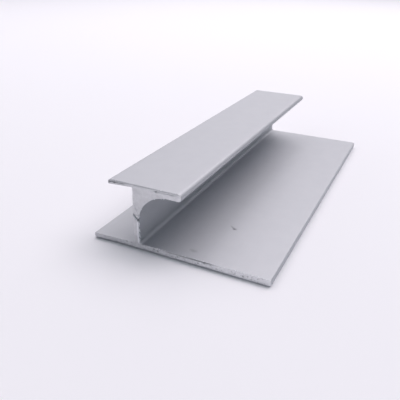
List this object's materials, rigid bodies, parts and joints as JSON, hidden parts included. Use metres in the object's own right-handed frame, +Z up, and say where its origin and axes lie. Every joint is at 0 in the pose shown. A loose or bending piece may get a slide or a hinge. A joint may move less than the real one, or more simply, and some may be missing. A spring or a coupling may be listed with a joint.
{
  "type": "aluminium extrusion profile",
  "caption": "Short sawn length of aluminium H-section joining profile: wide base flange, thin offset web and a narrower top flange with a cove under its wing.",
  "frame": {"origin": "under the middle of the base flange, on the surface that the profile lies on", "axes": "+X across the base from the narrow side of the web to the wide side, +Y along the length from the near sawn end to the far one, +Z up from the base flange to the top flange"},
  "size_m": [0.0402, 0.088, 0.015],
  "materials": {
    "satin_aluminium": "satin"
  },
  "bodies": {
    "root": {"extruded_profile": "satin_aluminium"}
  },
  "joints": []
}
